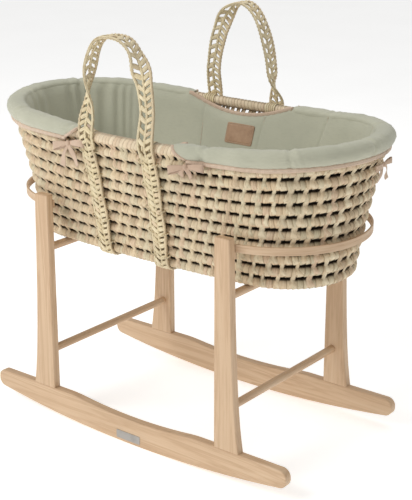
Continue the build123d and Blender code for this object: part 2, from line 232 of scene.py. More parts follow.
def new_finish(name, **plain):
    """A material and a starting wire. The plain values go straight on to the shader."""
    material = bpy.data.materials.new(name)
    material.use_nodes = True
    surface = material.node_tree.nodes["Principled BSDF"]
    for socket, value in plain.items():
        surface.inputs[socket.replace("_", " ")].default_value = value
    return material, Wire(material.node_tree)


def feed(material, socket, wire):
    """Link a wire to a socket of the material's shader."""
    surface = material.node_tree.nodes["Principled BSDF"]
    material.node_tree.links.new(wire.socket, surface.inputs[socket])


def feed_bump(material, height, distance, strength=1.0):
    """Turn a height into the shader's normal."""
    values = {"Height": height, "Distance": distance, "Strength": strength}
    feed(material, "Normal", height.node("ShaderNodeBump", {}, values))


def place_of(start):
    """Where a point is on the object, in metres."""
    return start.node("ShaderNodeTexCoord", {}, {}, "Object")


def number_of(vector, axis):
    """The X, Y or Z of a vector."""
    return vector.node("ShaderNodeSeparateXYZ", {}, {0: vector}, axis)


print("shader helpers ready")

# %% [markdown]
# ## Pine
#
# The stand is pale pine under a satin oil. Pine shows long, slightly wavy bands of darker late
# wood, fine pores along the grain, and a slow drift of tone from board to board. A flat tan
# would look like plastic. The bands here are a noise squeezed hard across the grain and
# stretched along it, so one recipe serves for each board once it knows which way its grain runs.

# %% Pine finish
def pine(name, along, seed):
    """Pine with its grain along X, Y or Z."""
    material, start = new_finish(name, Coat_Weight=0.06, Coat_Roughness=0.35)
    here = place_of(start)
    shift = start.node("ShaderNodeVectorMath", {"operation": "ADD"}, {0: here, 1: (seed, seed, seed)})
    slow = [1.0, 1.0, 1.0]
    slow["XYZ".index(along)] = 0.045
    bands = shift.stretched(tuple(slow)).noise(72.0, 4.0, 0.55, 0.9)
    pores = shift.stretched(tuple(slow)).noise(620.0, 2.0, 0.6)
    drift = shift.noise(5.0, 2.0)
    wood = bands.ramp(
        (0.30, (0.70, 0.51, 0.335)),
        (0.47, (0.655, 0.46, 0.29)),
        (0.56, (0.56, 0.372, 0.222)),
        (0.66, (0.69, 0.495, 0.32)),
    )
    toned = (drift.rise(0.3, 0.75) * 0.5).blend(wood, (0.60, 0.42, 0.262))
    feed(material, "Base Color", (pores.rise(0.55, 0.72) * 0.22).blend(toned, (0.43, 0.27, 0.15)))
    feed(material, "Roughness", 0.42 + bands * 0.14 + pores * 0.1)
    feed_bump(material, bands * 0.6 + pores, 0.0004, 0.35)
    return material


pine_slot = {}
for number, axis in enumerate("XYZ"):
    pine_slot[axis] = pine(f"pine_grain_{axis.lower()}", axis, 0.37 * number + 0.2)
pine_bent, start = new_finish("pine_bent_strip", Roughness=0.5)
strip_grain = place_of(start).stretched((0.05, 0.05, 1.0)).noise(260.0, 3.0, 0.6)
feed(pine_bent, "Base Color", strip_grain.ramp(
    (0.35, (0.66, 0.48, 0.315)),
    (0.55, (0.60, 0.415, 0.26)),
    (0.68, (0.50, 0.33, 0.2)),
))
feed(pine_bent, "Roughness", 0.4 + strip_grain * 0.25)
feed_bump(pine_bent, strip_grain, 0.0004, 0.3)


def dress(node, material):
    """Give a measured piece its finish. Its shape and its place stay as they are."""
    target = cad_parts[node]
    target.data.materials.clear()
    target.data.materials.append(material)
    for face in target.data.polygons:
        face.material_index = 0


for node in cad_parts:
    if node.startswith("rocker_") and node != "rocker_plate":
        dress(node, pine_slot["X"])
    if node.startswith("leg_"):
        dress(node, pine_slot["Z"])
    if node.startswith(("crossbar", "support_rail")):
        dress(node, pine_slot["Y"])
    if node.startswith("bent_band"):
        dress(node, pine_bent)
wooden = ("rocker_", "leg_", "cross", "support", "bent")
print("pine on", sum(node.startswith(wooden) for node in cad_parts))

# %% [markdown]
# ## Palm leaf
#
# Every wrap is one split leaf, so neighbours differ: straw, cream, a little green, now and then
# pink. Each leaf has fine creases along it and dulls where hands touch it. The pieces carry a
# map called "chart": its whole number across is the leaf, its fraction is the place across that
# leaf, and its second number runs along the leaf. One finish can then colour each leaf by
# itself, which a noise in space would smear over several.

# %% Palm finish
def palm(name, tones, painted_shade=0.0, crease=9.0):
    """Palm leaf coloured leaf by leaf. Painted shade, of the given strength, darkens the parts of a coil
    that face the next row.
    """
    material, start = new_finish(name)
    chart = start.node("ShaderNodeUVMap", {"uv_map": "chart"})
    across = number_of(chart, "X")
    along = number_of(chart, "Y")
    number = (across + 0.001).whole()
    chance = number.node("ShaderNodeTexWhiteNoise", {"noise_dimensions": "1D"}, {"W": number})
    tone = chance.ramp(*tones)
    grain = {0: across * crease, 1: along * 3.0, 2: chance * 9.0}
    thread = across.node("ShaderNodeCombineXYZ", {}, grain)
    streak = thread.noise(1.0, 3.0, 0.6)
    cloud = place_of(start).noise(17.0, 2.0)
    colour = (streak.rise(0.5, 0.72) * 0.6).blend(tone, (0.38, 0.27, 0.15))
    colour = (streak.rise(0.52, 0.3) * 0.35).blend(colour, (0.88, 0.78, 0.58))
    colour = (cloud.rise(0.42, 0.68) * 0.34).blend(colour, (0.56, 0.475, 0.33))
    fold = abs(across.part() - 0.5).rise(0.36, 0.5)
    colour = (fold * 0.55).blend(colour, (0.24, 0.155, 0.075))
    # Painted shade: darker on each coil's top and bottom, where it faces the next row across a slot.
    if painted_shade:
        facing = abs((along * (2 * math.pi)).sine())
        colour = (facing.rise(0.72, 0.98) * painted_shade).blend(colour, (0.07, 0.045, 0.025))
    feed(material, "Base Color", colour)
    feed(material, "Roughness", 0.48 + streak * 0.3)
    feed_bump(material, streak - fold * 0.8, 0.0009, 0.8)
    return material


straw_tones = (
    (0.0, (0.74, 0.60, 0.39)),
    (0.26, (0.69, 0.52, 0.33)),
    (0.48, (0.80, 0.68, 0.47)),
    (0.64, (0.60, 0.52, 0.345)),
    (0.80, (0.69, 0.505, 0.34)),
    (1.0, (0.50, 0.38, 0.23)),
)
# The wall and base coils get strong painted shade on their tops and bottoms; the rim coil gets a lighter
# painted shade.
palm_coil = palm("palm_coil", straw_tones, painted_shade=0.95)
palm_stitch = palm("palm_coil_stitch", straw_tones, crease=6.0)
palm_rim = palm("palm_rim_wrap", (
    (0.0, (0.80, 0.66, 0.46)),
    (0.4, (0.76, 0.58, 0.40)),
    (0.7, (0.84, 0.72, 0.52)),
    (1.0, (0.68, 0.50, 0.34)),
), painted_shade=0.35)
palm_plait = palm("palm_plait", (
    (0.0, (0.74, 0.62, 0.38)),
    (0.4, (0.80, 0.69, 0.46)),
    (0.75, (0.66, 0.55, 0.33)),
    (1.0, (0.72, 0.56, 0.37)),
), crease=5.0)
print("palm finishes:", palm_coil.name, palm_stitch.name, palm_rim.name, palm_plait.name)

# %% [markdown]
# ## Meshes from grids of points
#
# Almost every soft piece here is a sheet or a tube, and both are a grid of points. `Shape`
# gathers grids, joins them into one mesh, and keeps the leaf map. Modelling by hand or with
# curve objects would also work, but a coil has hundreds of wraps, and arrays lay them in one go.

# %% The Shape collector
class Shape:
    """Grids of points that become one mesh piece."""

    def __init__(self):
        self.points = []
        self.faces = []
        self.charts = []
        self.count = 0

    def grid(self, points, chart=None, ring_rows=False, ring_columns=False, caps=""):
        """Add a grid: rows by columns by 3. A ring joins the last row or column to the first.
        Caps closes the first ring, the last ring or both."""
        rows, columns = points.shape[:2]
        if chart is None:
            chart = np.zeros((rows + ring_rows, columns + ring_columns, 2))
        row = np.arange(rows - 1 + ring_rows)[:, None]
        column = np.arange(columns - 1 + ring_columns)[None, :]
        corners = []
        maps = []
        for down, right in ((0, 0), (1, 0), (1, 1), (0, 1)):
            i, j = np.broadcast_arrays(row + down, column + right)
            corners.append((i % rows) * columns + (j % columns))
            maps.append(chart[i, j])
        quads = np.stack(corners, -1).reshape(-1, 4) + self.count
        self.faces += quads.tolist()
        self.charts.append(np.stack(maps, -2).reshape(-1, 2))
        for end, ring in ((0, range(columns)), (rows - 1, reversed(range(columns)))):
            if ("last" if end else "first") in caps:
                self.faces.append([self.count + end * columns + j for j in ring])
                self.charts.append(np.zeros((columns, 2)) + chart[end, 0])
        self.points.append(points.reshape(-1, 3))
        self.count += rows * columns

    def piece(self, name, material, body, slot, *nodes):
        """Make the mesh, give it its finish, and let it ride on a body in place of CAD nodes."""
        mesh = bpy.data.meshes.new(name)
        mesh.from_pydata(np.concatenate(self.points).tolist(), [], self.faces)
        leaf = mesh.uv_layers.new(name="chart")
        leaf.data.foreach_set("uv", np.concatenate(self.charts).ravel().astype(np.float32))
        mesh.shade_smooth()
        mesh.materials.append(material)
        made = bpy.data.objects.new(name, mesh)
        scene.collection.objects.link(made)
        if nodes:
            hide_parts(*nodes)
        if body:
            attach(made, body)
        print(f"{name}: {len(self.faces)} faces")
        return made


def unit(vectors):
    """Vectors scaled to length 1."""
    return vectors / np.maximum(np.linalg.norm(vectors, axis=-1, keepdims=True), 1e-9)


def full_turn(count):
    """Angles spread evenly over one turn."""
    return np.arange(count) / count * 2 * math.pi


def distances(line):
    """How far along a line each of its points is."""
    return np.concatenate([[0.0], np.cumsum(np.linalg.norm(np.diff(line, axis=0), axis=1))])


def between(where, known, table):
    """A table's rows, read between the places where they're known."""
    return np.stack([np.interp(where, known, column) for column in table.T], -1)


def squared_off(turns, power):
    """Sines or cosines bent towards 1 and -1, which turns a circle into a rounded square."""
    return np.sign(turns) * np.abs(turns) ** power


def sweep(shape, path, facing, wide, thick, around=8, leaf=0.0, run=1.0, ring=False, square=2.0):
    """A tube along a path. Facing gives its broad side; wide and thick are half sizes."""
    path = np.asarray(path, float)
    count = len(path)
    if ring:
        ahead = np.roll(path, -1, 0) - np.roll(path, 1, 0)
    else:
        ahead = np.gradient(path, axis=0)
    ahead = unit(ahead)
    facing = np.broadcast_to(np.asarray(facing, float), path.shape)
    side = unit(np.cross(ahead, facing))
    normal = unit(np.cross(side, ahead))
    angle = full_turn(around)
    c = squared_off(np.cos(angle), 2 / square)[None, :, None]
    s = squared_off(np.sin(angle), 2 / square)[None, :, None]
    wide = np.broadcast_to(wide, (count,))[:, None, None]
    thick = np.broadcast_to(thick, (count,))[:, None, None]
    points = path[:, None] + side[:, None] * c * wide + normal[:, None] * s * thick
    steps = np.linalg.norm(np.diff(path, axis=0), axis=1)
    length = np.concatenate([[0.0], np.cumsum(steps), [np.sum(steps) + steps[-1]]])
    chart = np.zeros((count + ring, around + 1, 2))
    round_the_tube = np.arange(around + 1) / around * 2 * math.pi
    chart[..., 0] = leaf + 0.02 + 0.96 * (np.cos(round_the_tube) / 2 + 0.5)
    chart[..., 1] = length[: count + ring, None] * run
    shape.grid(points, chart, ring, True, "" if ring else "first last")


print("shape helpers ready")

# %% [markdown]
# ## Ovals
#
# Seen from above, each coil is four arcs that run smoothly into each other: two tight ones at
# the ends and two flat ones along the sides. Its ends stand higher than its middle, like a
# boat's sheer. On an arc, the distance walked grows evenly with the direction it faces, so the
# place at any share of the way round is exact and quick to work out.

# %% The Oval class
class Oval:
    """A four-arc ring. Shares run from 0 to 1, from the front's middle by the foot end."""

    def __init__(self, half_length, half_width, level, sheer, fullness=0.92):
        self.half_length = half_length
        self.half_width = half_width
        self.level = level
        self.small = fullness * half_width
        self.reach = half_length - self.small
        squares = self.reach ** 2 + half_width ** 2 - self.small ** 2
        self.big = squares / (2 * (half_width - self.small))
        self.turn = math.asin(self.reach / (self.big - self.small))
        drop = self.big * (1 - math.cos(self.turn))
        drop += self.small * math.tan(self.turn) * (1 - math.sin(self.turn))
        self.climb = sheer / drop
        quarter = math.pi / 2
        self.knots = np.array([-quarter, -quarter + self.turn, quarter - self.turn, quarter + self.turn,
                               3 * quarter - self.turn, 3 * quarter])
        radii = np.array([self.big, self.small, self.big, self.small, self.big])
        self.walked = np.concatenate([[0.0], np.cumsum(radii * np.diff(self.knots))])
        self.length = self.walked[-1]

    def angle(self, share):
        """Direction that the ring faces at a share."""
        return np.interp(np.mod(share, 1.0) * self.length, self.walked, self.knots)

    def outward(self, share):
        """The level direction that points away from the ring at a share."""
        angle = self.angle(share)
        return np.stack([np.cos(angle), np.sin(angle), 0 * angle], -1)

    def at(self, share, out=0.0, up=0.0):
        """Points at shares, moved outwards and up."""
        angle = self.angle(share)
        c = np.cos(angle)
        s = np.sin(angle)
        side = np.abs(c) < math.sin(self.turn)
        radius = np.where(side, self.big, self.small)
        x = np.where(side, 0.0, self.reach * np.sign(c)) + radius * c
        y = np.where(side, (self.half_width - self.big) * np.sign(s), 0.0) + radius * s
        joint = self.big * math.sin(self.turn)
        drop = self.big - np.sqrt(self.big ** 2 - np.minimum(np.abs(x), joint) ** 2)
        drop = drop + np.maximum(np.abs(x) - joint, 0) * math.tan(self.turn)
        return np.stack([x + out * c, y + out * s, self.level + drop * self.climb + up], -1)

    def share_at(self, x, side):
        """The share where the front (-1) or rear (1) is at an X."""
        angle = side * math.pi / 2 - side * np.arcsin(np.asarray(x, float) / self.big)
        angle = np.where(angle < -math.pi / 2, angle + 2 * math.pi, angle)
        return np.interp(angle, self.knots, self.walked) / self.length


def ring_of(node, radius):
    """The oval that a measured coil follows."""
    low, high = (np.array(corner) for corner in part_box(node))
    return Oval(high[0] - radius, high[1] - radius, low[2] + radius, high[2] - low[2] - 2 * radius)


first_low, first_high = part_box("wall_row_01")
coil_radius = (first_high.z - first_low.z) / 2
rim_radius = 0.0103
row_names = [f"wall_row_{number:02d}" for number in range(1, 11)]
rows = [ring_of(name, coil_radius) for name in row_names]
rim = ring_of("rim_coil", rim_radius)
print("coil radius", round(coil_radius, 4), "rim level", round(rim.level, 4))
print("once round the rim is", round(rim.length, 3))

# %% [markdown]
# ## Coiled wall
#
# A bundle of palm fibre is wrapped with leaf, and each wrap bites through the row above, so the
# wall is ten ribbed rings joined by little leaf necks with dark gaps between them. Painting
# that on a smooth wall looks flat at the edges. Here each ring is a tube whose radius drops a
# little across each wrap, and each neck is a fan of leaf that starts on the row above, crosses
# the gap and spreads out over its own row.

# %% Ribbed coils
def lay_coil(shape, oval, deep, high, wrap, rng, around=12, lean=0.0, lift=0.1):
    """Wrap an oval in overlapping leaves, each about `wrap` wide."""
    count = int(round(oval.length / wrap))
    edges = np.cumsum(0.75 + 0.5 * rng.random(count))
    edges = np.concatenate([[0.0], edges / edges[-1]])
    inside = np.array([0.0, 0.13, 0.5, 0.93])
    relief = np.array([-0.7, 1.0, 0.35, -0.5])
    share = (edges[:-1, None] + inside * np.diff(edges)[:, None]).ravel()
    number = (np.arange(count)[:, None] + inside).ravel()
    swell = np.tile(relief, count) * (0.6 + 0.8 * np.repeat(rng.random(count), 4))
    angle = full_turn(around)
    size = 1 + lift * swell[:, None] * (0.55 + 0.45 * np.cos(angle))
    shift = lean * np.sin(angle)[None, :] / oval.length
    points = oval.at(share[:, None] + shift, deep * size * np.cos(angle), high * size * np.sin(angle))
    chart = np.zeros((len(share) + 1, around + 1, 2))
    chart[..., 0] = np.append(number, count)[:, None]
    chart[..., 1] = (np.arange(around + 1) / around)[None, :]
    shape.grid(points, chart, True, True)


def lay_necks(shape, lower, upper, deep, high, upper_high, step, phase, lean, rng):
    """Fans of leaf that tie one ring to the ring above."""
    count = int(round(lower.length / step))
    across = np.array([-1.0, -0.72, 0.0, 0.72, 1.0])
    sink = np.array([-0.0032, -0.0003, 0.0005, -0.0003, -0.0032])
    # On the ring above or not, angle round that coil, half width, lift and slide along the wall.
    stations = (
        (1, -0.15, 0.0034, -0.0012, -0.25),
        (1, -0.75, 0.0042, 0.0008, -0.15),
        (0, 0.95, 0.0046, 0.0014, 0.0),
        (0, 0.55, 0.0058, 0.0013, 0.2),
        (0, 0.1, 0.0082, 0.0010, 0.55),
        (0, -0.4, 0.0100, 0.0003, 0.9),
        (0, -0.85, 0.0105, -0.0014, 1.1),
    )
    for number in range(count):
        middle_share = (number + phase + 0.22 * (rng.random() - 0.5)) / count
        size = 0.72 + 0.6 * rng.random()
        slant = lean + 0.0025 * (rng.random() - 0.5)
        grid = np.zeros((len(stations), len(across), 3))
        for i, (above, angle, half, lifted, slide) in enumerate(stations):
            oval = upper if above else lower
            tall = upper_high if above else high
            share = middle_share + (slide * slant + across * half * size) / lower.length
            out = (deep + lifted + sink) * math.cos(angle)
            grid[i] = oval.at(share, out, (tall + lifted + sink) * math.sin(angle))
        chart = np.zeros((len(stations), len(across), 2))
        chart[..., 0] = number + 0.5 + across * 0.45
        chart[..., 1] = np.linspace(0, 1, len(stations))[:, None]
        shape.grid(grid, chart)


row_high = coil_radius * 0.915
for index, (name, oval) in enumerate(zip(row_names, rows)):
    rng = np.random.default_rng(20 + index)
    coil = Shape()
    tall = row_high * (0.975 + 0.05 * rng.random())
    lay_coil(coil, oval, coil_radius, tall, 0.0112, rng, lean=0.002 * math.sin(index * 2.1))
    coil.piece(f"coil_{name[-2:]}", palm_coil, "basket", "palm_coil", name)
print("ten ribbed coils")

# %% Leaf necks between the coils
necks = Shape()
neck_step = 0.0265
neck_leans = (0.002, 0.006, 0.001, -0.003, 0.005, 0.0, 0.004, -0.002, 0.003)
for index, lean in enumerate(neck_leans):
    rng = np.random.default_rng(60 + index)
    pair = (rows[index], rows[index + 1])
    lay_necks(necks, *pair, coil_radius, row_high, row_high, neck_step, 0.37 * index, lean, rng)
rng = np.random.default_rng(60 + len(neck_leans))
deep = coil_radius * 0.97
for hand in (-1, 1):
    lean = -0.008 * hand
    lay_necks(necks, rows[-1], rim, deep, row_high, rim_radius, neck_step, 0.2 * hand, lean, rng)
necks.piece("coil_necks", palm_stitch, "basket", "palm_coil")

# %% Rim coil and base
wrapped_rim = Shape()
lay_coil(wrapped_rim, rim, rim_radius, rim_radius, 0.0085, np.random.default_rng(7), 14, 0.003, 0.07)
wrapped_rim.piece("rim_wrapped", palm_rim, "basket", "palm_coil", "rim_coil")

mat_low, mat_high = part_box("base_mat")
mat_half = (mat_high.z - mat_low.z) / 2
mat_level = mat_low.z + mat_half
base = Shape()
spacing = 0.0196
for turn_number in range(6):
    inset = coil_radius + 0.0105 + spacing * turn_number
    oval = Oval(rows[0].half_length - inset, rows[0].half_width - inset, mat_level, 0.0)
    rng = np.random.default_rng(90 + turn_number)
    lay_coil(base, oval, spacing * 0.52, mat_half, 0.0112, rng, 10)
middle_x = np.linspace(-0.235, 0.235, 40)
slot_line = np.stack([middle_x, 0 * middle_x, mat_level + 0 * middle_x], -1)
sweep(base, slot_line, (0, 0, 1), 0.0100, mat_half * 0.96, 10, leaf=3.0, run=8.0)
base.piece("base_coils", palm_coil, "basket", "palm_coil", "base_mat")

# %% [markdown]
# ## Plaited straps
#
# The carry straps and the handles are one openwork plait: a firm cord along each edge, one
# down the middle, and slanted strips of leaf from cord to cord that leave holes between them.
# A texture of a plait would show no daylight through the holes, so every cord and strip is its
# own small tube. `Band` holds the line that a strap follows, with the direction of its width
# and its face at each point, so the same plait can go down a wall or twist over in an arch.

# %% The Band class
class Band:
    """A line in space with a width direction and a face direction."""

    def __init__(self, line, face, twist=None):
        steps = distances(line)
        self.length = steps[-1]
        self.walk = np.linspace(0, self.length, 260)
        self.line = between(self.walk, steps, line)
        for _ in range(6):
            self.line[1:-1] = (self.line[:-2] + 2 * self.line[1:-1] + self.line[2:]) / 4
        ahead = unit(np.gradient(self.line, axis=0))
        outer = between(self.walk, steps, face)
        wide = unit(np.cross(outer, ahead))
        face = unit(np.cross(ahead, wide))
        angle = 0 * self.walk if twist is None else twist(self.walk / self.length)
        c = np.cos(angle)[:, None]
        s = np.sin(angle)[:, None]
        self.wide = wide * c + face * s
        self.face = face * c - wide * s

    def read(self, table, where):
        """A table's vectors at distances along the band."""
        return between(where, self.walk, table)

    def at(self, where, side=0.0, height=0.0):
        """Points at distances along the band, moved sideways and off its face."""
        where = np.asarray(where, float)
        side = np.broadcast_to(side, where.shape)[..., None]
        height = np.broadcast_to(height, where.shape)[..., None]
        flat = self.read(self.line, where) + self.read(self.wide, where) * side
        return flat + self.read(self.face, where) * height


def plait(band, half, cords, fields, rng, waver=0.0012):
    """Cords along a band and slanted strips between them, as one shape."""
    shape = Shape()
    leaf = 0
    for place, thick in cords:
        count = int(band.length / 0.0026)
        where = np.linspace(0, band.length, count)
        ripple = 1 + 0.16 * np.sin(np.arange(count) * 2.1 + place * 900)
        side = place * half + waver * np.sin(where * 60 + place * 5)
        path = band.at(where, side, 0.0004 * np.cos(np.arange(count) * 2.1))
        size = thick * ripple
        sweep(shape, path, band.read(band.face, where), size, size * 0.9, 7, leaf, 30.0)
        leaf += 1
    for start, stop, pitch, slide, wide, thick in fields:
        count = int((band.length - abs(slide)) / pitch)
        for number in range(count):
            begin = max(-slide, 0) + (number + 0.5 + 0.16 * (rng.random() - 0.5)) * pitch
            share = np.linspace(0, 1, 7)
            where = np.clip(begin + slide * share, 0, band.length)
            side = (start + (stop - start) * share) * half
            arch = 0.0006 + 0.0012 * np.sin(share * math.pi)
            arch = arch * (1 if number % 2 else 0.6) - 0.0022 * np.abs(share - 0.5) ** 3 * 8
            path = band.at(where, side, arch)
            swell = wide * (0.86 + 0.28 * rng.random()) * (0.72 + 0.28 * np.sin(share * math.pi))
            sweep(shape, path, band.read(band.face, where), swell, thick, 6, leaf, 20.0, square=2.4)
            leaf += 1
    return shape


def level_ring(level):
    """The oval that the wall's coils would follow at a level."""
    rings = rows + [rim]
    levels = [ring.level for ring in rings]
    length = np.interp(level, levels, [ring.half_length for ring in rings])
    width = np.interp(level, levels, [ring.half_width for ring in rings])
    rise = 0.017 * np.clip((level - levels[0]) / (levels[-1] - levels[0]), 0, 1)
    return Oval(length, width, level, max(rise, 1e-5))


lean_out = (rim.half_width - rows[-1].half_width) / (rim.level - rows[-1].level)
print("the wall leans out", round(lean_out, 3), "per unit of height near the rim")

# %% Carry straps down the wall and under the base
strap_room = 0.0035


def strap_band(rim_x, base_x, rear_rim_x, rear_base_x, top):
    """The line of one strap: down the front, under the base and up the rear."""
    line = []
    face = []
    low_level = rows[0].level
    levels = np.linspace(top, low_level, 24)
    for side, high_x, low_x in ((-1, rim_x, base_x), (1, rear_rim_x, rear_base_x)):
        part = []
        aim = []
        for level in levels:
            x = low_x + (high_x - low_x) * (level - low_level) / (top - low_level)
            ring = level_ring(level)
            share = ring.share_at(x, side)
            part.append(ring.at(share, (coil_radius + strap_room) * 1.04))
            aim.append(ring.outward(share))
        bottom = rows[0].at(rows[0].share_at(low_x, side))
        for angle in np.linspace(-0.3, -1.45, 6):
            reach = coil_radius + strap_room
            part.append(bottom + np.array([0, side * reach * math.cos(angle), reach * math.sin(angle)]))
            aim.append(np.array([0, side * math.cos(angle), math.sin(angle)]))
        line.append(part)
        face.append(aim)
    whole = np.array(line[0] + line[1][::-1])
    return Band(whole, np.array(face[0] + face[1][::-1]))


# A cord is its place across the strap and its half thickness. A field is where its strips start
# and stop across the strap, their spacing, their slide along it, and their half width and depth.
wall_cords = ((-0.86, 0.0029), (0.05, 0.0026), (0.88, 0.0031))
wall_fields = (
    (-0.84, 0.10, 0.0118, 0.0125, 0.0053, 0.0021),
    (0.88, 0.0, 0.0125, 0.0085, 0.0047, 0.0020),
)
strap_low, strap_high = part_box("carry_strap_head")
strap_half = (strap_high.x - strap_low.x) / 2 * 0.94
strap_bands = {
    "head": strap_band(-0.083, -0.098, -0.104, -0.100, strap_high.z + 0.006),
    "foot": strap_band(0.066, 0.045, 0.053, 0.050, strap_high.z + 0.006),
}
for end, band in strap_bands.items():
    strap = plait(band, strap_half, wall_cords, wall_fields, np.random.default_rng(len(end) + 3))
    strap.piece(f"strap_plait_{end}", palm_plait, "basket", "palm_plait", f"carry_strap_{end}")

# %% [markdown]
# ## Handles
#
# Each handle stands on the rim as a hoop of the same plait with wider holes. It doesn't stay
# flat: one leg faces out, and on the way up the strap turns over until, across the top, its
# width lies across the basket for the hand. The hoop is a rounded arch curve, and a twist that
# grows and fades along it turns the width.

# %% Handles
def handle_band(side, centre_x, drift, half, rise, power, twist):
    """A hoop over the rim, from its head-end foot to its foot-end foot."""
    foot_level = rim.at(rim.share_at(centre_x, side))[2]
    angle = np.linspace(math.pi, 0, 90)
    c = squared_off(np.cos(angle), 2 / power)
    s = squared_off(np.abs(np.sin(angle)), 2 / power)
    x = centre_x + half * c + drift * s
    tall = foot_level + rise * s
    below = np.linspace(0.022, 0.0, 6)[:-1]
    x = np.concatenate([np.full(5, x[0]), x, np.full(5, x[-1])])
    tall = np.concatenate([foot_level - below, tall, foot_level - below[::-1]])
    height = tall - foot_level
    stand_off = rim_radius + 0.0045 - 0.0115 * np.clip((height - 0.012) / 0.05, 0, 1)
    stand_off = stand_off + np.minimum(height, 0) * lean_out
    y = [rim.at(rim.share_at(value, side))[1] for value in np.clip(x, -0.2, 0.2)]
    line = np.stack([x, np.array(y) + side * stand_off, tall], -1)
    return Band(line, np.tile([0.0, side, 0.0], (len(x), 1)), twist)


def ease(share, start, stop):
    """0 before start, 1 after stop, and a smooth climb between."""
    step = np.clip((share - start) / (stop - start), 0, 1)
    return step * step * (3 - 2 * step)


def front_twist(share):
    """The front handle turns soon after its head foot and back before its foot-end one."""
    return -math.pi * 0.5 * (ease(share, 0.10, 0.32) - ease(share, 0.60, 0.74))


def rear_twist(share):
    """The rear handle stays flat for longer and turns back low down."""
    return math.pi * 0.5 * (ease(share, 0.32, 0.48) - ease(share, 0.80, 0.95))


hand_cords = ((-0.86, 0.0031), (-0.02, 0.0030), (0.86, 0.0030))
hand_fields = (
    (-0.86, 0.0, 0.0200, 0.0115, 0.0050, 0.0019),
    (0.86, 0.0, 0.0128, 0.0095, 0.0043, 0.0018),
)
hoops = {
    "front": handle_band(-1, -0.0085, -0.004, 0.0735, 0.194, 2.8, front_twist),
    "rear": handle_band(1, -0.0255, -0.002, 0.0785, 0.210, 2.1, rear_twist),
}
for name, hoop in hoops.items():
    handle = plait(hoop, 0.0182, hand_cords, hand_fields, np.random.default_rng(len(name) + 30), 0.0009)
    made = handle.piece(f"handle_plait_{name}", palm_plait, None, "palm_plait", f"handle_{name}")
    axis_level = rim.at(rim.share_at(hoop.line[0][0], -1 if name == "front" else 1))[2]
    axis_level - 0.004
    axis_level + 0.022
    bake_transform(made)

# %% Leaf loops that tie the straps to the coils
ties = Shape()
tie_number = 0
for end, band in strap_bands.items():
    for wall, walk in ((-1, 0.0), (1, band.length)):
        for index in (9, 7, 5, 3, 1):
            ring = rows[index]
            down = (rows[-1].level + 0.012 - ring.level) * 1.07 + 0.006
            for edge in (-1, 1):
                where = np.array([walk + down if wall < 0 else walk - down])
                heart = band.at(where, edge * strap_half * 0.94, 0.0008)[0]
                outward = band.read(band.face, where)[0]
                angle = np.linspace(0, 2 * math.pi, 13)[:-1]
                along = unit(band.read(band.wide, where))[0]
                loop = heart + np.cos(angle)[:, None] * along * 0.0062
                loop = loop + np.sin(angle)[:, None] * outward * 0.0052
                loop[:, 2] += 0.003 * np.cos(angle) * (1 if tie_number % 2 else -1)
                sweep(ties, loop, (0, 0, 1), 0.0015, 0.0011, 6, tie_number, 9.0, ring=True)
                tie_number += 1
ties.piece("strap_ties", palm_plait, "basket", "palm_plait")

# %% Wraps that hold each handle's feet on the rim
for name, hoop in hoops.items():
    side = -1 if name == "front" else 1
    foot_wraps = Shape()
    for foot in (0, -1):
        share = float(rim.share_at(hoop.line[foot][0], side))
        for number in range(5):
            place = share + (number - 2) * 0.0052 / rim.length * side * -1
            angle = np.linspace(0, 2 * math.pi, 19)[:-1]
            reach = rim_radius + 0.0011
            skew = 0.0012 * np.sin(angle) / rim.length
            loop = rim.at(place + skew, reach * np.cos(angle), reach * np.sin(angle))
            centre = rim.at(place)
            sweep(foot_wraps, loop, loop - centre, 0.0029, 0.0009, 6, number + 10 * foot, 9.0, ring=True)
    foot_wraps.piece(f"handle_wraps_{name}", palm_plait, "basket", "palm_plait")

# %% [markdown]
# ## Cloth finishes
#
# The liner is a soft sage cotton over thin wadding; its edges are bound with a beige tape sewn
# down with one row of stitches. Cloth is matt, so roughness stays high and a little sheen
# softens its edges. The weave is two crossed ripples on the cloth's own map, with slubs and a
# slow fading over them, because an even green reads as painted board.

# %% Sage quilt
def cloth(name, light, deep, thread=0.0011, sheen=0.25, stitched=0.0, stitch_colour=(0.7, 0.6, 0.5)):
    """Woven cotton, with a row of stitches along its middle if asked for."""
    material, start = new_finish(name, Sheen_Weight=sheen, Sheen_Roughness=0.5)
    chart = start.node("ShaderNodeUVMap", {"uv_map": "chart"})
    across = number_of(chart, "X")
    along = number_of(chart, "Y")
    here = place_of(start)
    weave = (number_of(here, "Z") * (2 * math.pi / thread)).sine()
    other = (along * (2 * math.pi / thread)).sine()
    slub = here.stretched((1.0, 1.0, 4.0)).noise(95.0, 3.0, 0.6)
    cloud = here.noise(8.0, 3.0)
    colour = cloud.rise(0.35, 0.68).blend(light, deep)
    colour = (slub.rise(0.45, 0.75) * 0.3).blend(colour, tuple(value * 0.8 for value in light))
    height = slub * 0.5 + weave * other * 0.12
    if stitched:
        row = abs(across.part() - 0.5).rise(stitched, stitched * 0.4)
        stitch = (along / 0.0034).part().rise(0.62, 0.5) * row
        colour = (stitch * 0.75).blend(colour, stitch_colour)
        height = height - stitch * 0.9
    feed(material, "Base Color", colour)
    feed(material, "Roughness", 0.8 + slub * 0.15)
    feed_bump(material, height, 0.0006, 0.6)
    return material


sage = cloth("sage_quilt", (0.505, 0.50, 0.385), (0.455, 0.455, 0.35))
# The bag's back is its grey-mauve backing cloth, made darker as painted shade for the slots between the
# coils, where it shows.
lining_painted_dark = cloth("lining_back_painted_shade", (0.20, 0.18, 0.165), (0.15, 0.13, 0.12))
tape = cloth("bias_tape", (0.64, 0.49, 0.37), (0.56, 0.41, 0.30), sheen=0.2, stitched=0.07,
             stitch_colour=(0.72, 0.60, 0.47))
ribbon = cloth("tie_ribbon", (0.62, 0.46, 0.34), (0.50, 0.35, 0.25), sheen=0.2)
print("cloth finishes ready")

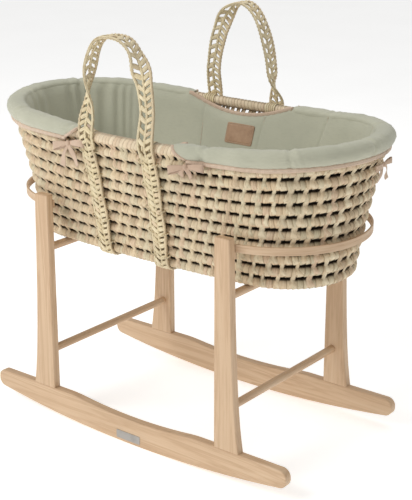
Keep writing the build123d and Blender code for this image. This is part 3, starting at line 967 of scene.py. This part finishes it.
# %% [markdown]
# ## Liner
#
# The liner is one quilted cloth: a bag that drops inside the wall, and wings that turn over the
# rim and hang outside it. Upright seams divide it into panels that puff a little between them,
# and it gathers at the tight head end. It could be draped by simulation, but its edge is sewn
# to exact scoops under the handles, so the panels are shaped directly on the basket's ovals and
# each puff is a smooth swelling that dies away at the mattress.

# %% Points on the wall at any level
def wall_points(levels, shares, out):
    """Points at levels (rows by columns) above the wall's shares (columns), moved outwards."""
    count = 41
    table_levels = np.linspace(0.375, 0.675, count)
    table = np.zeros((count, len(shares), 3))
    normals = np.zeros((count, len(shares), 3))
    for i, level in enumerate(table_levels):
        ring = level_ring(min(level, rim.level))
        table[i] = ring.at(shares, 0.0, max(level - rim.level, 0.0))
        normals[i] = ring.outward(shares)
    spot = (levels - table_levels[0]) / (table_levels[1] - table_levels[0])
    spot = np.clip(spot, 0, count - 1.001)
    index = spot.astype(int)
    part = (spot - index)[..., None]
    column = np.arange(len(shares))[None, :]
    base_point = table[index, column] * (1 - part) + table[index + 1, column] * part
    normal = normals[index, column] * (1 - part) + normals[index + 1, column] * part
    return base_point + normal * np.broadcast_to(out, levels.shape)[..., None]


bag_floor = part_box("liner_bag")[0].z
bag_out = -(coil_radius * math.hypot(1, lean_out) + 0.002)
quilt = 0.005
bag_top = rim.level + rim_radius + 0.0006
floor_level = bag_floor + quilt
cuts = {-1: (-0.106, 0.130), 1: (-0.143, 0.110)}
scoop_depth = 0.026
seam_zero = float(rim.share_at(0.052, 1))
panel_count = 13


def panel_place(share):
    """0 to 1 across each sewn panel."""
    return np.mod((share - seam_zero) * panel_count, 1.0)


def cloth_chart(rows, columns, length):
    """A map for a sheet of cloth whose columns run once round a length."""
    chart = np.zeros((rows, columns + 1, 2))
    chart[..., 0] = 0.25
    chart[..., 1] = (np.arange(columns + 1) / columns * length)[None, :]
    return chart


def drawn_in(ring, scale):
    """A ring scaled towards the basket's middle, at its own heights."""
    return ring * [scale, scale, 1.0]


def bag_edge(shares):
    """Level of the bag's top edge, which dips under each handle."""
    spots = rim.at(shares)
    level = np.full(len(shares), bag_top)
    for side, (first, last) in cuts.items():
        middle_x = (first + last) / 2
        q = (spots[:, 0] - middle_x) / ((last - first) / 2)
        here = (np.sign(spots[:, 1]) == side) & (np.abs(q) < 1)
        level = np.where(here, bag_top - scoop_depth * (1 - q * q), level)
    return level


print("liner edge from", round(bag_top - scoop_depth, 4), "to", round(bag_top, 4))

# %% Bag
def wrinkle(share, seed, waves, size):
    """A smooth random ripple round the ring."""
    rng = np.random.default_rng(seed)
    total = 0 * share
    for wave in waves:
        total = total + np.sin(share * 2 * math.pi * wave + rng.random() * 6.3) * (0.5 + rng.random())
    return total * size / len(waves)


shares = np.arange(840) / 840
edge_level = bag_edge(shares) - 0.003
columns = len(shares)
panel = panel_place(shares)
puff = np.sin(panel * math.pi) ** 0.5
seam = np.exp(-((np.minimum(panel, 1 - panel) * rim.length / panel_count) / 0.0022) ** 2)
gather = np.clip((-rim.at(shares)[:, 0] - 0.22) / 0.12, 0, 1)
walk = shares * rim.length
fold = walk / 0.034 + 0.7 * np.sin(walk / 0.071) + 0.3 * np.sin(shares * 97)
profile = []
outer_ring = wall_points(np.full((1, columns), bag_floor), shares, bag_out)[0]
for scale in (0.02, 0.5, 0.97):
    profile.append(drawn_in(outer_ring, scale))
for step in np.linspace(0.0, 1.0, 12):
    level = bag_floor + 0.003 + (edge_level - bag_floor - 0.003) * step
    profile.append(wall_points(level[None, :], shares, bag_out)[0])
profile.append(wall_points(edge_level[None, :] + 0.0017, shares, bag_out - quilt / 2)[0])
for step in np.linspace(0.0, 1.0, 34):
    level = edge_level + (floor_level - edge_level) * step
    upper = np.clip((level - floor_level - 0.045) / 0.05, 0.0, 1.0)
    swell = 0.0026 * puff + 0.0008 * (1 + wrinkle(shares, 5, (9, 14, 23, 37), 1.0))
    swell = swell + 0.0026 * gather * (1 + np.sin(fold * 2 * math.pi + level * 22)) * (1 - 0.5 * step)
    sag = 0.0012 * np.sin(step * math.pi * 3 + 2 * np.sin(shares * 25))
    inward = (swell + sag + 0.0012) * (0.25 + 0.75 * upper) * np.minimum(1, step * 22) - 0.0012 * seam
    profile.append(wall_points(level[None, :], shares, bag_out - quilt - np.maximum(inward, 0))[0])
inner_ring = wall_points(np.full((1, columns), floor_level + 0.0006), shares, bag_out - quilt)[0]
for scale in (0.97, 0.8, 0.55, 0.3, 0.02):
    profile.append(drawn_in(inner_ring, scale))
profile = np.array(profile)
chart = cloth_chart(len(profile), columns, rim.length)
turn_row = 15  # the ring where the cloth's back turns over into its face
bag = Shape()
bag.grid(profile[turn_row:], chart[turn_row:], False, True, "last")
liner_inside = bag.piece("liner_quilt", sage, "basket", "sage_quilt", "liner_bag")
bag_back = Shape()
bag_back.grid(profile[:turn_row + 1], chart[:turn_row + 1], False, True, "first")
# The back wears the darkened lining, painted shade for the slots between the coils.
bag_back.piece("liner_back", lining_painted_dark, "basket", "sage_quilt")

# %% Seams of the bag
seams = Shape()
for number in range(panel_count):
    share = (seam_zero + number / panel_count) % 1.0
    level_top = float(bag_edge(np.array([share]))[0]) - 0.004
    levels = np.linspace(level_top, floor_level + 0.006, 30)
    spots = wall_points(levels[:, None], np.array([share]), bag_out - quilt - 0.0006)[:, 0]
    outward = rim.outward(np.array([share]))[0]
    for first in range(len(spots) - 1):
        pair = spots[first:first + 2]
        stitch_line = pair[0] + (pair[1] - pair[0]) * np.linspace(0.12, 0.8, 4)[:, None]
        sweep(seams, stitch_line, -outward, 0.0005, 0.0004, 6, number, 1.0)
seams.piece("liner_seams", tape, "basket", "sage_quilt")

# %% [markdown]
# ### The wings over the rim
#
# At each end the cloth turns over the rim coil and hangs a little way down outside. Each wing is
# one closed tube with a hooked section: across the bag's edge, over the coil and down. Both ends
# of a wing are cut on a slant and grow shallower, so that the handles' feet stay free. Its puffs
# follow the same seams as the bag, and small diagonal pulls run out of them.

# %% Wings
# The section's outline in millimetres, outwards and up from the rim coil's middle.
hook = np.array([
    (-17.0, -9.0), (-18.6, -3.0), (-19.6, 2.0), (-19.4, 6.4), (-17.4, 9.8), (-12.8, 12.0), (-6.4, 13.0),
    (0.0, 13.4), (6.6, 12.8), (12.6, 9.8), (16.4, 4.6), (18.0, -2.0), (18.4, -8.0),
    (17.4, -13.6), (15.0, -16.4), (13.2, -15.8), (12.4, -12.0), (12.1, -6.0), (12.0, 0.0),
    (11.4, 4.6), (9.0, 8.6), (4.0, 10.8), (-2.0, 10.9), (-8.0, 10.2), (-13.0, 8.4), (-15.6, 4.0),
    (-16.2, -4.0),
]) / 1000
closed = np.vstack([hook[-1], hook, hook[0]])
along_hook = closed[2:] - closed[:-2]
hook_normal = unit(np.stack([-along_hook[:, 1], along_hook[:, 0]], -1))
plump_share = np.array([0.0, 0.1, 0.4, 0.7, 0.9, 1, 1, 1, 1, 1, 1, 1, 1, 0.8, 0.4] + [0.0] * 12)
top_height = hook[:, 1].max()
low_height = hook[:, 1].min()
slant = 0.034         # how far a slanted end runs back from top to bottom
end_pinch = 0.0016    # how much a wing thins at its ends
front_reach = 0.012   # the front wing at the foot end starts nearer to its handle
end_drop = 0.62       # depth of a wing at its ends, as a share of its full depth
drop_run = 0.20       # how far from its ends a wing reaches its full depth
close_run = 0.016     # how far from its ends it reaches its full thickness
wing_part = 0.42      # share of the rim that a wing covers


def wing_share(height, cut_x, outward_x, side):
    """Where a wing's slanted end lies at a height over the rim."""
    below = top_height - np.clip(height, low_height - 0.01, top_height)
    reach = slant * below / (top_height - low_height)
    return rim.share_at(cut_x + outward_x * reach, side)


def wing_ends(end, height):
    """First and last share of a wing at a height."""
    if end == "foot":
        begin = wing_share(height, cuts[-1][1] - front_reach, 1, -1)
        return begin, wing_share(height, cuts[1][1], 1, 1)
    return wing_share(height, cuts[1][0], -1, 1), wing_share(height, cuts[-1][0], -1, -1)


def rim_hung(share, out, height):
    """Points round the rim, leaning in with the wall below it."""
    return rim.at(share, out + lean_out * np.minimum(height, 0), height)


def shallower(height, near_end):
    """Heights below the rim's middle, lifted towards a wing's slanted ends."""
    way = np.clip(near_end / drop_run, 0, 1)
    share_kept = end_drop + (1 - end_drop) * way * way * (3 - 2 * way)
    return np.where(height < 0, height * share_kept, height)


wing_pieces = {}
for end in ("head", "foot"):
    count = 420
    step = np.linspace(0, 1, count)
    begin, stop = wing_ends(end, hook[:, 1])
    share = begin[None, :] + (stop - begin)[None, :] * step[:, None]
    panel = panel_place(share)
    distance = np.minimum(panel, 1 - panel) * rim.length / panel_count
    swelling = 0.0012 * np.sin(panel * math.pi) ** 0.6 - 0.0022 * np.exp(-(distance / 0.0035) ** 2)
    pull = np.sin(distance * 520 + hook[None, :, 1] * 190) * np.exp(-distance / 0.022)
    soft = wrinkle(share, 11, (17, 29, 41), 0.0007)
    soft = soft + wrinkle(share + hook[None, :, 1] * 0.9, 12, (61, 83), 0.0004)
    near_end = np.minimum(step, 1 - step)[:, None] * rim.length * wing_part
    close = np.clip(near_end / close_run, 0, 1) ** 0.6
    lift = (swelling + 0.0006 * pull + soft) * plump_share * close
    lift = lift - end_pinch * (1 - close) * plump_share
    out = hook[None, :, 0] + hook_normal[None, :, 0] * lift
    height = shallower(hook[None, :, 1] + hook_normal[None, :, 1] * lift, near_end)
    chart = np.zeros((count, len(hook) + 1, 2))
    chart[..., 0] = 0.25
    chart[..., 1] = step[:, None] * rim.length * wing_part
    wing = Shape()
    wing.grid(rim_hung(share, out, height), chart, False, True, "first last")
    wing_pieces[end] = wing.piece(
        f"liner_wing_{end}", sage, "basket", "sage_quilt", f"liner_flap_{end}"
    )

# %% Bindings
thinned = hook - hook_normal * end_pinch
stops = np.linspace(14, 8, 40)  # down the wing's outside, as places in its outline
out = np.interp(stops, np.arange(len(hook)), thinned[:, 0]) + 0.0004
down = np.interp(stops, np.arange(len(hook)), thinned[:, 1]) - 0.0006
for end in ("head", "foot"):
    step = np.linspace(0, 1, 360)
    begin, stop = wing_ends(end, np.array([low_height]))
    share = begin[0] + (stop[0] - begin[0]) * step
    ripple = 0.0004 * np.sin(share * rim.length * 2 * math.pi / 0.013)
    ripple = ripple + wrinkle(share, 31, (47, 71), 0.0004)
    near_end = np.minimum(step, 1 - step) * rim.length * wing_part
    height = shallower(low_height + 0 * step, near_end) - 0.0034 + 0.5 * ripple
    path = rim_hung(share, 0.0156 + ripple, height)
    edge = Shape()
    sweep(edge, path, rim.outward(share), 0.0046, 0.0028, 10, 0, 1.0, square=2.8)
    for ends in wing_ends(end, down):
        path = rim_hung(ends, out, shallower(down, 0 * down))
        sweep(edge, path, rim.outward(ends), 0.0028, 0.0038, 10, 0, 1.0)
    edge.piece(f"binding_{end}", tape, "basket", "bias_tape", f"flap_binding_{end}")

for name, side in (("front", -1), ("rear", 1)):
    first, last = cuts[side]
    x = np.linspace(first - 0.006, last + 0.006, 120)
    share = rim.share_at(x, side)
    level = bag_edge(share) - 0.0005
    pucker = 0.0004 * np.sin(x * 2 * math.pi / 0.015)
    path = wall_points(level[None, :], share, bag_out - quilt / 2 + pucker)[0]
    trim = Shape()
    sweep(trim, path, rim.outward(share), 0.0042, 0.0038, 10, 0, 1.0, square=2.6)
    trim.piece(f"scoop_trim_{name}", tape, "basket", "bias_tape", f"scoop_binding_{name}")

# %% [markdown]
# ## Ribbon bows
#
# Tapes sewn to the wings tie through the top coils, so the liner can't ride up. A bow is two
# loops, two tails and a knot. Cloth simulation of a knot is slow and fickle; a ribbon swept
# along a few drawn curves, narrower where the knot grips it, keeps the same soft look.

# %% Bows
def tie_bow(shape, heart, right, outward, size, seed, tail=1.0, droop=0.25):
    """Two loops, two tails and a knot round a point."""
    rng = np.random.default_rng(seed)
    up = np.array([0, 0, 1.0])

    def spot(r, u, n):
        return heart + np.outer(r, right) + np.outer(u, up) + np.outer(n, outward)

    share = np.linspace(0, 1, 19)
    for hand in (-1, 1):
        reach = 0.031 * size * (0.85 + 0.3 * rng.random())
        tilt = droop * (0.5 + rng.random()) * (1 if hand < 0 else -0.3)
        r = hand * reach * np.sin(math.pi * share)
        u = -np.abs(r) * tilt + 0.002 * size * np.sin(2 * math.pi * share)
        n = 0.0050 + 0.0046 * size * np.sin(2 * math.pi * share) + 0.0006
        path = spot(r, u, n)
        facing = np.cross(np.gradient(path, axis=0), up + 0.4 * hand * right * tilt)
        wide = (0.0024 + 0.0042 * np.sin(math.pi * share) ** 0.7) * size
        sweep(shape, path, facing, wide, 0.00055, 8, 0, 1.0, square=3.0)
        long = (0.036 + 0.008 * rng.random()) * size * tail
        swing = hand * (0.35 + 0.35 * rng.random())
        r = long * share * swing + 0.002 * np.sin(5 * share) * hand
        u = -long * share * (1 - 0.25 * abs(swing))
        n = 0.0066 + 0.0022 * np.sin(4.5 * share + hand)
        path = spot(r, u, n)
        facing = outward + 0.35 * hand * right * np.sin(share * 5)[:, None]
        wide = (0.0026 + 0.0024 * share ** 0.5) * size
        sweep(shape, path, facing, wide, 0.0005, 8, 0, 1.0, square=3.0)
    share = np.linspace(-1, 1, 9)
    path = spot(0.0 * share, 0.0052 * size * share, 0.0070 + 0 * share)
    bulge = np.sqrt(1 - (0.92 * share) ** 2)
    sweep(shape, path, outward, 0.0044 * size * bulge, 0.0040 * size * bulge, 10, 0, 1.0)


bow_size = {
    "tie_bow_front_head": 1.2,
    "tie_bow_front_foot": 1.15,
    "tie_bow_rear_head": 1.1,
    "tie_bow_rear_foot": 1.15,
    "end_tie_foot": 0.9,
    "end_tie_head": 0.9,
}
for number, (node, size) in enumerate(bow_size.items()):
    low, high = (np.array(corner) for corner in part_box(node))
    heart = (low + high) / 2
    outward = np.array([0.0, np.sign(heart[1]), 0.0])
    if node.startswith("end"):
        outward = np.array([np.sign(heart[0]), 0.0, 0.0])
        heart = heart - outward * 0.0035
    else:
        heart = heart - outward * 0.0020 + np.array([0.0, 0.0, 0.0165])
    right = np.cross(np.array([0, 0, 1.0]), outward)
    bow = Shape()
    tail = 0.5 if node == "tie_bow_front_foot" else 1.0
    tie_bow(bow, heart, right, outward, size, 40 + number, tail)
    bow.piece(f"ribbon_{node}", ribbon, "basket", "bias_tape", node)

# %% [markdown]
# ## Patch, plate and screws
#
# A blank leather patch is sewn to the liner's rear wall, and a blank metal plate is set in the
# front rocker. Leather is darker where it folds over its cut edge and has fine pores; the plate
# is brushed along its length. The stitches are real little beads, because at this size a bump
# alone wouldn't catch the light.

# %% Leather patch
leather, start = new_finish("patch_leather", Coat_Weight=0.05, Coat_Roughness=0.4)
here = place_of(start)
mottle = here.noise(70.0, 4.0, 0.6)
pores = here.node("ShaderNodeTexVoronoi", {"feature": "F1"}, {"Vector": here, "Scale": 1500.0})
scuff = here.stretched((1.0, 1.0, 3.0)).noise(210.0, 2.0)
hide = mottle.ramp(
    (0.30, (0.44, 0.275, 0.165)),
    (0.55, (0.385, 0.232, 0.135)),
    (0.75, (0.32, 0.185, 0.105)),
)
feed(leather, "Base Color", (scuff.rise(0.58, 0.75) * 0.3).blend(hide, (0.47, 0.30, 0.19)))
feed(leather, "Roughness", 0.5 + mottle * 0.2)
feed_bump(leather, pores + mottle * 0.5, 0.0003, 0.5)

patch_low, patch_high = (np.array(corner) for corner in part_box("liner_patch"))
patch_heart = (patch_low + patch_high) / 2 - np.array([0.0, 0.0042, 0.0])
patch_wide = (patch_high[0] - patch_low[0]) / 2
rise_low = level_ring(patch_low[2]).half_width
rise_high = level_ring(patch_high[2]).half_width
patch_lean = math.atan((rise_high - rise_low) / (patch_high[2] - patch_low[2]))
patch_tall = (patch_high[2] - patch_low[2]) / 2 / math.cos(patch_lean) - 0.0004
patch_up = np.array([0.0, math.sin(patch_lean), math.cos(patch_lean)])
patch_face = np.array([0.0, -math.cos(patch_lean), math.sin(patch_lean)])


def patch_outline(inset, count=96):
    """A rounded rectangle on the patch's plane, as pairs of width and height."""
    angle = full_turn(count)
    c = squared_off(np.cos(angle), 0.13)
    s = squared_off(np.sin(angle), 0.13)
    return np.stack([(patch_wide - inset) * c, (patch_tall - inset) * s], -1)


def on_patch(pairs, height):
    """Points on the patch, which bends a little with the wall."""
    bend = 0.0006 * (1 - (pairs[:, :1] / patch_wide) ** 2)
    flat = patch_heart + np.outer(pairs[:, 0], [1, 0, 0]) + np.outer(pairs[:, 1], patch_up)
    return flat + (height - bend) * patch_face


patch = Shape()
# From the hidden back round the cut edge, down into the sewn groove and up on to the face.
edge_steps = (
    (0.0003, -0.0007), (0.0, 0.0), (0.0002, 0.0007), (0.0009, 0.0010),
    (0.0021, 0.0008), (0.0026, 0.0005), (0.0033, 0.0010),
)
rings = [on_patch(patch_outline(0.0) * 0.02, -0.0007)]
rings += [on_patch(patch_outline(inset), height) for inset, height in edge_steps]
rings += [on_patch(patch_outline(0.0) * scale, 0.0011) for scale in (0.7, 0.4, 0.02)]
patch.grid(np.array(rings), None, False, True, "first last")
patch.piece("leather_patch", leather, "basket", "patch_leather", "liner_patch")

thread = Shape()
border = patch_outline(0.0026, 1200)
border_walk = distances(border)
stitch_count = int(border_walk[-1] / 0.0036)
for number in range(stitch_count):
    where = (number + np.linspace(0.16, 0.84, 5)) / stitch_count * border_walk[-1]
    pairs = between(where, border_walk, border)
    arch = 0.0007 + 0.0004 * np.sin(np.linspace(0, math.pi, 5))
    path = on_patch(pairs, 0.0) + arch[:, None] * patch_face
    sweep(thread, path, patch_face, 0.00042, 0.00036, 6, number, 1.0)
thread.piece("patch_stitches", tape, "basket", "bias_tape")

# %% Plate and screws
brushed, start = new_finish("brushed_plate", Metallic=1.0)
here = place_of(start)
lines = here.stretched((0.04, 1.0, 1.0)).noise(1400.0, 2.0, 0.6)
tarnish = here.noise(60.0, 3.0)
dulled = tarnish.rise(0.4, 0.7) * 0.5
feed(brushed, "Base Color", dulled.blend((0.42, 0.41, 0.395), (0.30, 0.29, 0.275)))
feed(brushed, "Roughness", 0.3 + lines * 0.25)
feed_bump(brushed, lines, 0.0002, 0.3)
dress("rocker_plate", brushed)

steel, start = new_finish("zinc_screw", Metallic=1.0)
grit = place_of(start).noise(900.0, 3.0)
feed(steel, "Base Color", grit.ramp((0.3, (0.62, 0.61, 0.58)), (0.7, (0.48, 0.47, 0.44))))
feed(steel, "Roughness", 0.3 + grit * 0.2)
feed_bump(steel, grit, 0.0001, 0.3)
dress("band_screws", steel)

# %% [markdown]
# ## Mattress
#
# A thin foam slab in a quilted cotton cover, piped round its top and bottom edges. The quilting
# crosses in diamonds, so the top swells into soft squares and dips along each sewn line. The
# foam inside keeps the measured shape. The swell is worked out point by point: it meets the
# piping exactly, which a simulated pillow only does after several tries.

# %% Cotton and foam
cotton = cloth("mattress_cotton", (0.80, 0.785, 0.74), (0.73, 0.71, 0.66), thread=0.0008, sheen=0.2)
foam, start = new_finish("mattress_foam")
here = place_of(start)
cells = here.node("ShaderNodeTexVoronoi", {"feature": "F1"}, {"Vector": here, "Scale": 900.0})
feed(foam, "Base Color", cells.ramp((0.1, (0.62, 0.55, 0.36)), (0.6, (0.80, 0.74, 0.55))))
feed(foam, "Roughness", 0.85 + cells * 0.1)
feed_bump(foam, cells, 0.0005, 0.6)
dress("mattress_core", foam)

cover_low, cover_high = (np.array(corner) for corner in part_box("mattress_cover"))
cover_inset = rows[0].half_length - cover_high[0]
cover_mid = (cover_low[2] + cover_high[2]) / 2
cover_half = (cover_high[2] - cover_low[2]) / 2
flat_oval = Oval(rows[0].half_length, rows[0].half_width, 0.0, 1e-5)
shares = np.arange(480) / 480


def cover_ring(scale, out, height):
    """One ring of the cover, at a height over its middle."""
    ring = flat_oval.at(shares, -cover_inset + out) * scale
    ring[:, 2] = cover_mid + height
    return ring


def quilting(points):
    """0 on the sewn lines and 1 between them, in diamonds 62 mm across."""
    first = np.abs(np.sin((points[:, 0] + points[:, 1]) * math.pi / 0.062))
    second = np.abs(np.sin((points[:, 0] - points[:, 1]) * math.pi / 0.062))
    return np.sqrt(first * second)


rings = []
for hand in (-1, 1):
    for step in np.linspace(0.02, 0.985, 34)[::1 if hand < 0 else -1]:
        ring = cover_ring(step, -0.004, 0.0)
        edge = min(1.0, (1 - step) / 0.10)
        puff_high = 0.0016 if hand < 0 else 0.0070
        ring[:, 2] += hand * (cover_half - 0.0019 + puff_high * quilting(ring) * edge ** 0.5)
        rings.append(ring)
    if hand < 0:
        for angle in np.linspace(-1.25, 1.25, 9):
            ripple = 0.0005 * np.sin(shares * 2 * math.pi * 95)
            ring = cover_ring(1.0, -0.0045 + 0.0045 * math.cos(angle) + ripple, 0.0)
            ring[:, 2] += (cover_half - 0.0045) * math.sin(angle)
            rings.append(ring)
chart = cloth_chart(len(rings), len(shares), flat_oval.length)
cover = Shape()
cover.grid(np.array(rings), chart, False, True, "first last")
mattress = cover.piece("mattress_quilted", cotton, "mattress", "mattress_cotton", "mattress_cover")
piping = Shape()
for hand in (-1, 1):
    line = cover_ring(1.0, -0.0024, hand * (cover_half - 0.0042))
    sweep(piping, line, (0, 0, 1), 0.0022, 0.0022, 8, 0, 1.0, ring=True)
piping.piece("mattress_piping", tape, "mattress", "bias_tape")

# %% Wadding fill listed for the soft pieces, printed only
wadding = (
    (liner_inside, 0.25),
    (wing_pieces["head"], 0.5),
    (wing_pieces["foot"], 0.5),
    (mattress, 0.7),
)
for soft, fill in wadding:
    print(soft.name, "is padded, fill", fill)

# %% Floor
floor_mesh = bpy.data.meshes.new("paper_floor")
floor_mesh.from_pydata([(-9, -9, 0), (9, -9, 0), (9, 9, 0), (-9, 9, 0)], [], [(0, 1, 2, 3)])
glow = {"Emission_Color": (1.0, 1.0, 1.0, 1.0), "Emission_Strength": 0.47}
paper, start = new_finish("paper_floor", Roughness=0.9, **glow)
feed(paper, "Base Color", place_of(start).noise(3.0, 2.0).ramp(
    (0.3, (0.90, 0.90, 0.895)),
    (0.7, (0.93, 0.93, 0.925)),
))
floor_mesh.materials.append(paper)
floor = bpy.data.objects.new("paper_floor", floor_mesh)
scene.collection.objects.link(floor)
